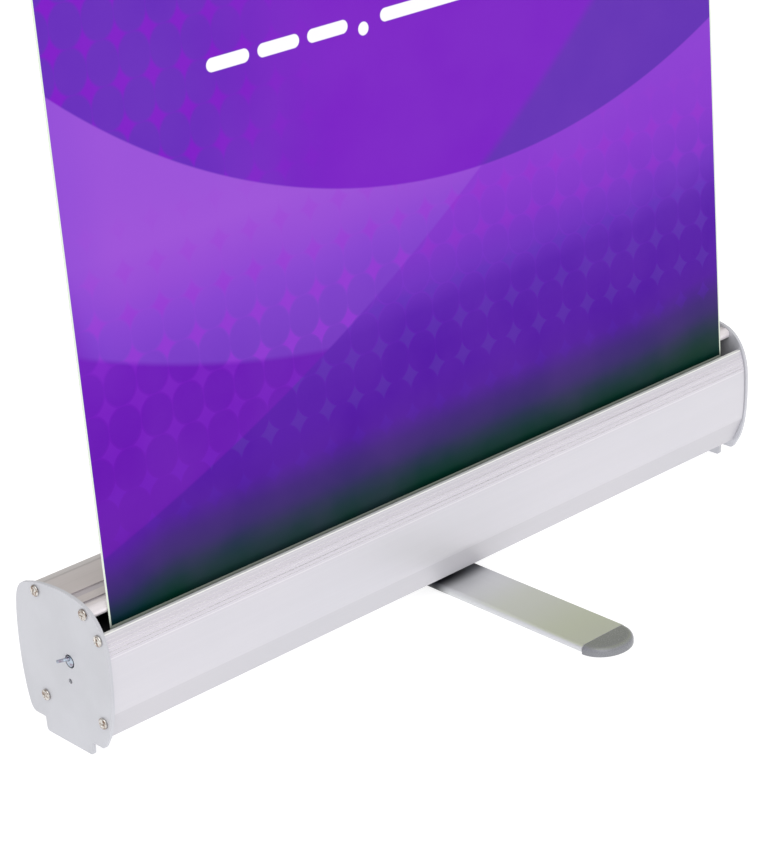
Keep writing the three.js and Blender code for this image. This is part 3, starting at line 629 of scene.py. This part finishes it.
def soften(node, width, segments=2, angle=32):
    """A CAD node keeps its shape; its sharp edges get a small round and its curves a smooth shade."""
    obj = NODES[node]
    smooth(obj.data)
    weld = obj.modifiers.new("weld", "WELD")
    weld.merge_threshold = 0.01 * MM
    flat = obj.modifiers.new("flat", "DECIMATE")
    flat.decimate_type = "DISSOLVE"
    flat.angle_limit = math.radians(0.5)
    rounded_edges(obj, width, segments, angle)
    sharpen(obj, angle)
    normals = obj.modifiers.new("normals", "WEIGHTED_NORMAL")
    normals.keep_sharp = True
    normals.weight = 100


# Millimetres of round on the edges of the nodes that show most; small and round ones get a trace.
EDGE_ROUNDS = {"casing_shell": 0.35, "top_cover": 0.35, "end_plate_left": 0.45, "end_plate_right": 0.45,
               "foot_bar": 0.15, "top_rail_body": 0.25, "top_rail_jaw": 0.25, "top_rail_cap_left": 0.5,
               "top_rail_cap_right": 0.5, "foot_mount_plate": 0.3, "pole_socket": 0.3, "pole_head": 0.4}
SMALL_ROUND = 0.1
SMALL_NODES = ("roller_tube", "wound_film", "spring_end_plug", "idle_end_plug", "idle_pin",
               "idle_bush", "spring_shaft", "shaft_washer", "spring_anchor_plug", "torsion_spring",
               "foot_pivot_bolt", "foot_pivot_nut", "foot_bush", "pole_foot_plug", "shock_cord",
               "cord_anchor")


def carried_nodes():
    """Every CAD node gets its slot's material or its own finish, some with painted light and shade, and most get
    softened edges.
    """
    for node, obj in NODES.items():
        paint(obj, OWN_FINISH_AND_PAINTED_LIGHT.get(node, SLOT_OF[node]))
    for node, width in EDGE_ROUNDS.items():
        soften(node, width * MM)
    for node in SMALL_NODES:
        soften(node, SMALL_ROUND * MM, 1, 40)


# ---------------------------------------------------------------- film
WAVE_DEPTH = 0.08 * MM
FILM_COLUMNS = 56
FILM_ROWS = 150
LEADER_COLUMNS = 8
LEADER_ROWS = 12  # above the place where the leader meets the print's lower edge
LEADER_GAP = 0.25 * MM  # between the print's back and the leader
LEADER_INSET = 0.5 * MM  # the leader is this much narrower than the print on each side
LEADER_SPARE = 8 * MM  # how far the leader reaches up behind the print with the pole pulled up


def film_bow(x, along):
    """How far a point of the taut film stands behind its plane: a few very shallow waves."""
    return WAVE_DEPTH * math.sin(9 * x / FILM_HALF + 2.0) * math.sin(math.pi * along / FILM_LENGTH)


def film_point(x, along, behind):
    return FILM_FOOT + ACROSS * x + UP_FILM * along + OUT_FILM * behind


def sheet_faces(rows, columns):
    """Faces of a thin closed sheet, each after a 0 on the front and a 1 on the back and the rim. The
    sheet's points run over its front row by row, and then over its back in the same order."""
    def point(side, row, column):
        return (side * (rows + 1) + row) * (columns + 1) + column

    faces = []
    for j in range(rows):
        for i in range(columns):
            corners = [(j, i), (j, i + 1), (j + 1, i + 1), (j + 1, i)]
            faces.append((0, [point(0, *corner) for corner in corners]))
            faces.append((1, [point(1, *corner) for corner in corners[:1] + corners[:0:-1]]))
    loop = [(0, i) for i in range(columns)] + [(j, columns) for j in range(rows)]
    loop += [(rows, i) for i in range(columns, 0, -1)] + [(j, 0) for j in range(rows, 0, -1)]
    for here, after in zip(loop, loop[1:] + loop[:1]):
        faces.append((1, [point(0, *after), point(0, *here), point(1, *here), point(1, *after)]))
    return faces


def banner_mesh():
    """The printed film. print_place holds x and s in millimetres; only the front is printed."""
    points, places = [], []
    for side in (-0.5, 0.5):
        for j in range(FILM_ROWS + 1):
            along = FILM_LENGTH * j / FILM_ROWS
            for i in range(FILM_COLUMNS + 1):
                x = FILM_HALF * math.sin(math.pi / 2 * (2 * i / FILM_COLUMNS - 1))
                points.append(film_point(x, along, film_bow(x, along) + side * FILM_T))
                places.append((x / MM, along / MM - PRINT_RISE, 0.0))
    faces = sheet_faces(FILM_ROWS, FILM_COLUMNS)
    mesh = mesh_from("printed_banner", points, [corners for kind, corners in faces])
    mesh.materials.append(MATERIALS["printed_film"])
    mesh.materials.append(MATERIALS["unprinted_film"])
    for polygon, (kind, corners) in zip(mesh.polygons, faces):
        polygon.material_index = kind
    attribute = mesh.attributes.new("print_place", "FLOAT_VECTOR", "POINT")
    for item, place in zip(attribute.data, places):
        item.vector = place
    return mesh


def banner_film():
    """The film rides with the pole."""
    mesh = banner_mesh()
    smooth(mesh)
    film = in_scene(bpy.data.objects.new("printed_banner", mesh))
    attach(film, "pole_upper")
    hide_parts("banner_film")
    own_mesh(film)


def film_leader():
    """The white leader from the roller up behind the print. It shows when the pole is pulled up."""
    low, high = (Vector(corner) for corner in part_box("film_inner_run"))
    height = PULL + LEADER_SPARE
    half = FILM_HALF - LEADER_INSET
    roller_edge = Vector((0, high.y, low.z))
    slot_edge = Vector((0, FILM_FOOT.y, high.z))
    rows = [roller_edge, slot_edge]
    behind = FILM_T + LEADER_GAP
    rows += [film_point(0, height * j / LEADER_ROWS, behind) for j in range(1, LEADER_ROWS + 1)]
    points = []
    for side in (-0.5, 0.5):
        for row in rows:
            for i in range(LEADER_COLUMNS + 1):
                x = half * (2 * i / LEADER_COLUMNS - 1)
                bow = film_bow(x, (row - FILM_FOOT).dot(UP_FILM)) if row.z > high.z + MM else 0.0
                points.append(row + ACROSS * x + OUT_FILM * (bow + side * FILM_T))
    faces = [corners for kind, corners in sheet_faces(len(rows) - 1, LEADER_COLUMNS)]
    mesh = mesh_from("film_leader", points, faces)
    leader = piece_from("film_leader", mesh, "base", "unprinted_film", "film_inner_run")
    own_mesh(leader)


# ---------------------------------------------------------------- screws
def cross_recess(mesh, top, depth, reach, width):
    """A screw head along +Z with a tapered cross cut out of its top and its edges broken."""
    cutters = []
    for turn in (0, 90):
        work = bmesh.new()
        bmesh.ops.create_cube(work, size=1.0)
        for vertex in work.verts:
            low = vertex.co.z < 0
            vertex.co.x *= 2 * reach * (0.45 if low else 1.15)
            vertex.co.y *= width * (0.6 if low else 1.1)
            vertex.co.z = top - depth if low else top + 0.4 * MM
        around_z = Matrix.Rotation(math.radians(turn + 20), 3, "Z")
        bmesh.ops.rotate(work, verts=work.verts, matrix=around_z)
        cutter_mesh = bpy.data.meshes.new("cutter")
        work.to_mesh(cutter_mesh)
        work.free()
        cutters.append(in_scene(bpy.data.objects.new("cutter", cutter_mesh)))
    screw = in_scene(bpy.data.objects.new("screw", mesh))
    for cutter in cutters:
        boolean = screw.modifiers.new("cut", "BOOLEAN")
        boolean.operation = "DIFFERENCE"
        boolean.solver = "EXACT"
        boolean.object = cutter
    rounded_edges(screw, 0.07 * MM, 2, 38)
    bpy.context.view_layer.update()
    evaluated = screw.evaluated_get(bpy.context.evaluated_depsgraph_get())
    result = bpy.data.meshes.new_from_object(evaluated)
    for obj in [screw, *cutters]:
        bpy.data.objects.remove(obj)
    return result


SCREW_HEAD = 1.8 * MM
SHANK_RADIUS = 1.5 * MM
THREAD_PITCH = 0.5 * MM


def pan_screw(radius, height, shank_radius, shank_length):
    """A pan head with a cross recess, its underside at z = 0 and its threaded shank below."""
    dome = [(0, height), (radius * 0.45, height * 0.99), (radius * 0.75, height * 0.90),
            (radius * 0.93, height * 0.70), (radius, height * 0.42), (radius, height * 0.12),
            (radius * 0.96, 0)]
    thread = [(shank_radius, 0)]
    for i in range(int(shank_length / THREAD_PITCH) - 2):
        z = -(i + 0.6) * THREAD_PITCH
        thread += [(shank_radius * 0.84, z), (shank_radius, z - THREAD_PITCH * 0.35)]
    profile = dome + thread + [(shank_radius * 0.5, -shank_length), (0, -shank_length)]
    mesh = turned("pan_screw", profile, 48)
    return cross_recess(mesh, height, height * 0.7, radius * 0.6, radius * 0.24)


def plate_screws():
    """The same screw five times on each side, each turned further than the one before."""
    low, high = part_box("plate_screw_left_1")
    radius = (high[2] - low[2]) / 2
    mesh = pan_screw(radius, SCREW_HEAD, SHANK_RADIUS, high[0] - low[0] - SCREW_HEAD)
    for side, word in ((-1, "left"), (1, "right")):
        for i in range(1, 6):
            node = f"plate_screw_{word}_{i}"
            low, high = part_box(node)
            centre = middle(node)
            seat = low[0] + SCREW_HEAD if side < 0 else high[0] - SCREW_HEAD
            place = Matrix.Translation((seat, centre.y, centre.z))
            turn = Vector((0, 0, 1)).rotation_difference(Vector((side, 0, 0)))
            spin = Matrix.Rotation(math.radians(37 * i), 4, "Z")
            own = mesh.copy()
            own.transform(place @ turn.to_matrix().to_4x4() @ spin)
            sharpen(piece_from(f"pan_head_{word}_{i}", own, "base", "steel_fixings", node), 38)


# ---------------------------------------------------------------- foot
# The side of a cap, from the floor side up: millimetres in from its outline, share of its height.
CAP_SIDE = [(1.2, 0.0), (0.0, 0.0), (0.0, 0.10), (0.0, 0.42), (0.4, 0.62), (1.1, 0.80), (2.2, 0.93),
            (3.4, 0.985), (4.8, 1.0)]
CAP_STEPS = 40


def foot_cap(word, sign):
    """A half ellipse in plan with a flat top and a soft shoulder."""
    node = f"foot_cap_{word}"
    low, high = (Vector(corner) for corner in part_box(node))
    centre_x = (low.x + high.x) / 2
    half, reach, height = (high.x - low.x) / 2, high.y - low.y, high.z - low.z
    root = high.y if sign < 0 else low.y
    points, faces, rings = [], [], []
    for inset, level in CAP_SIDE:
        ring = []
        for i in range(CAP_STEPS + 1):
            angle = math.pi * i / CAP_STEPS
            x = (half - inset * MM) * math.cos(angle)
            y = (reach - inset * MM) * math.sin(angle)
            ring.append(len(points))
            points.append(Vector((centre_x + x, root + sign * y, low.z + height * level)))
        rings.append(ring)
    for lower, upper in zip(rings, rings[1:]):
        for i in range(CAP_STEPS):
            faces.append([lower[i], lower[i + 1], upper[i + 1], upper[i]])
    faces.append(rings[-1])
    faces.append(rings[0][::-1])
    faces.append([ring[0] for ring in rings] + [ring[-1] for ring in reversed(rings)])
    mesh = face_outwards(mesh_from(f"cap_{word}", points, faces))
    cap = piece_from(f"foot_end_cap_{word}", mesh, "foot", "grey_plastic", node)
    paint(cap, "cap_plastic_painted_reflection")
    sharpen(cap, 50)


def foot_pad(word):
    """A rubber disc with four shallow round grooves in its underside."""
    node = f"foot_pad_{word}"
    low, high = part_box(node)
    centre = middle(node)
    radius, height = (high[0] - low[0]) / 2, high[2] - low[2]
    profile = [(0, 0)]
    for i in range(4):
        inner = radius * (0.22 + 0.18 * i)
        profile += [(inner, 0.0), (inner + radius * 0.06, 0.18 * height), (inner + radius * 0.12, 0.0)]
    profile += [(radius * 0.96, 0), (radius, height * 0.3), (radius, height), (0, height)]
    underside = Vector((centre.x, centre.y, low[2]))
    mesh = turned(f"pad_{word}", rounded(profile, 0.12 * MM), 64, underside)
    piece_from(f"rubber_pad_{word}", mesh, "foot", "rubber", node)


# ---------------------------------------------------------------- pole
POLE_AXIS = Vector((POLE.x, POLE.y, 0))
TUBE_WALL = 1.1 * MM
TUBE_CHAMFER = 0.25 * MM
STOP_WALL = 1.8 * MM


def pole_pieces():
    for node in ("pole_lower", "pole_middle", "pole_upper"):
        tube(node)
    collar("pole_lower_collar", "pole_lower", "pole_middle")
    collar("pole_middle_collar", "pole_middle", "pole_upper")
    stop_ring("pole_middle_stop", "pole_middle")
    stop_ring("pole_upper_stop", "pole_upper")


def tube(node):
    """A pole section with the four corners of its wall chamfered."""
    low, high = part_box(node)
    radius = (high[0] - low[0]) / 2
    inner = radius - TUBE_WALL
    corners = [(inner, low[2]), (radius, low[2]), (radius, high[2]), (inner, high[2])]
    profile = []
    for i, corner in enumerate(corners):
        here = Vector(corner)
        for other in (corners[i - 1], corners[(i + 1) % 4]):
            profile.append(tuple(here + (Vector(other) - here).normalized() * TUBE_CHAMFER))
    mesh = turned(f"{node}_tube", profile + profile[:1], 96, POLE_AXIS)
    sharpen(piece_from(f"{node}_tube", mesh, node, "pole_aluminium", node), 32)


def collar(node, body, inner_tube):
    """A pressed-on guide with four grip rings and a rolled lip."""
    low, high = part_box(node)
    tube_low, tube_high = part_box(inner_tube)
    outer = (high[0] - low[0]) / 2
    bore = (tube_high[0] - tube_low[0]) / 2 + 0.3 * MM
    over = outer - 1.4 * MM
    shelf = high[2] - 2.7 * MM
    groove = outer - 0.35 * MM
    profile = [(bore, shelf), (over, shelf), (over, low[2]), (outer - 0.3 * MM, low[2])]
    for i in range(4):
        z = low[2] + (1.6 + 2.6 * i) * MM
        profile += [(outer, z), (outer, z + 1.4 * MM), (groove, z + 1.8 * MM), (groove, z + 2.2 * MM)]
    profile += [(outer, high[2] - 2.0 * MM), (over + 0.6 * MM, high[2] - 0.3 * MM), (over, high[2]),
                (bore, high[2]), (bore, shelf)]
    mesh = turned(f"{node}_ring", profile, 72, POLE_AXIS)
    sharpen(piece_from(f"{node}_ring", mesh, body, "black_plastic", node), 40)


def stop_ring(node, body):
    """A ring that sits on the collar below it and stops its tube from sliding further in."""
    low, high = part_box(node)
    outer = (high[0] - low[0]) / 2
    bore = outer - STOP_WALL
    profile = [(bore, low[2]), (outer, low[2]), (outer, high[2] - 1.0 * MM),
               (outer - 0.3 * MM, high[2] - 0.4 * MM), (outer - 0.9 * MM, high[2]), (bore, high[2]),
               (bore, low[2])]
    mesh = turned(f"{node}_ring", profile, 64, POLE_AXIS)
    sharpen(piece_from(f"{node}_ring", mesh, body, "black_plastic", node), 40)


# ---------------------------------------------------------------- stage
# Places in metres, angles in degrees, the lens in millimetres.
CAMERA_PLACE = Vector((-1.1697, -1.28409, 0.87586))
CAMERA_AZIMUTH = -41.735
CAMERA_ELEVATION = 23.379
CAMERA_ROLL = -3.339
CAMERA_LENS = 112.2


def camera():
    data = bpy.data.cameras.new("camera")
    data.lens = CAMERA_LENS
    data.sensor_width = 36.0
    data.clip_start = 0.01
    made = in_scene(bpy.data.objects.new("camera", data))
    azimuth, elevation = math.radians(CAMERA_AZIMUTH), math.radians(CAMERA_ELEVATION)
    back = Vector((math.sin(azimuth) * math.cos(elevation), -math.cos(azimuth) * math.cos(elevation),
                   math.sin(elevation)))
    roll = Quaternion((0, 0, 1), math.radians(CAMERA_ROLL))
    made.location = CAMERA_PLACE
    made.rotation_mode = "QUATERNION"
    made.rotation_quaternion = back.to_track_quat("Z", "Y") @ roll
    bpy.context.scene.camera = made


SKY_POWER = 0.62
SKY_COLOR = (1.0, 0.985, 0.975, 1.0)
SUN_POWER = 1.0
SUN_SPREAD = 50  # degrees of sky that the sun covers
SUN_FROM = Vector((-0.45, -0.55, 1.25))
SOFTBOX_PLACE = Vector((-1.8, -2.8, 1.6))
SOFTBOX_TARGET = Vector((0, 0, 0.3))
SOFTBOX_SIZE = 2.0
SOFTBOX_POWER = 14
FLOOR_HALF = 14
FLOOR_GLOW = 0.82  # light that the floor gives off itself, so that shadows on it stay faint


def light(name, data, place, direction):
    """A lamp that shines against the given direction."""
    made = in_scene(bpy.data.objects.new(name, data))
    made.location = place
    made.rotation_mode = "QUATERNION"
    made.rotation_quaternion = direction.to_track_quat("Z", "Y")


def lights():
    """A grey sky, one wide soft sun and a large softbox in front. The floor glows as well."""
    sun = bpy.data.lights.new("soft_sun", "SUN")
    sun.energy = SUN_POWER
    sun.angle = math.radians(SUN_SPREAD)
    light("soft_sun", sun, (0, 0, 0), SUN_FROM)
    softbox = bpy.data.lights.new("softbox", "AREA")
    softbox.shape = "SQUARE"
    softbox.size = SOFTBOX_SIZE
    softbox.energy = SOFTBOX_POWER
    light("softbox", softbox, SOFTBOX_PLACE, SOFTBOX_PLACE - SOFTBOX_TARGET)
    world = bpy.data.worlds.new("studio")
    world.use_nodes = True
    background = world.node_tree.nodes["Background"]
    background.inputs["Color"].default_value = SKY_COLOR
    background.inputs["Strength"].default_value = SKY_POWER
    bpy.context.scene.world = world
    bpy.context.scene.view_settings.view_transform = "Standard"


def floor():
    corners = [(x * FLOOR_HALF, y * FLOOR_HALF, 0) for x, y in ((-1, -1), (1, -1), (1, 1), (-1, 1))]
    mesh = mesh_from("floor", corners, [[0, 1, 2, 3]])
    made = in_scene(bpy.data.objects.new("floor", mesh))
    made.location.z = -0.1 * MM
    g = Graph("pale_floor")
    soft = g.noise(g.coordinates(), 2.0, 2.0)
    tone = g.mix(soft, linear(160, 160, 160), linear(164, 164, 164))
    mesh.materials.append(g.set(Base_Color=tone, Roughness=0.7, Specular_IOR_Level=0.1,
                                Emission_Color=(1.0, 1.0, 1.0, 1.0), Emission_Strength=FLOOR_GLOW))


camera()
lights()
floor()
carried_nodes()
film_leader()
banner_film()
plate_screws()
for cap_word, cap_sign in (("front", -1), ("rear", 1)):
    foot_cap(cap_word, cap_sign)
    foot_pad(cap_word)
pole_pieces()
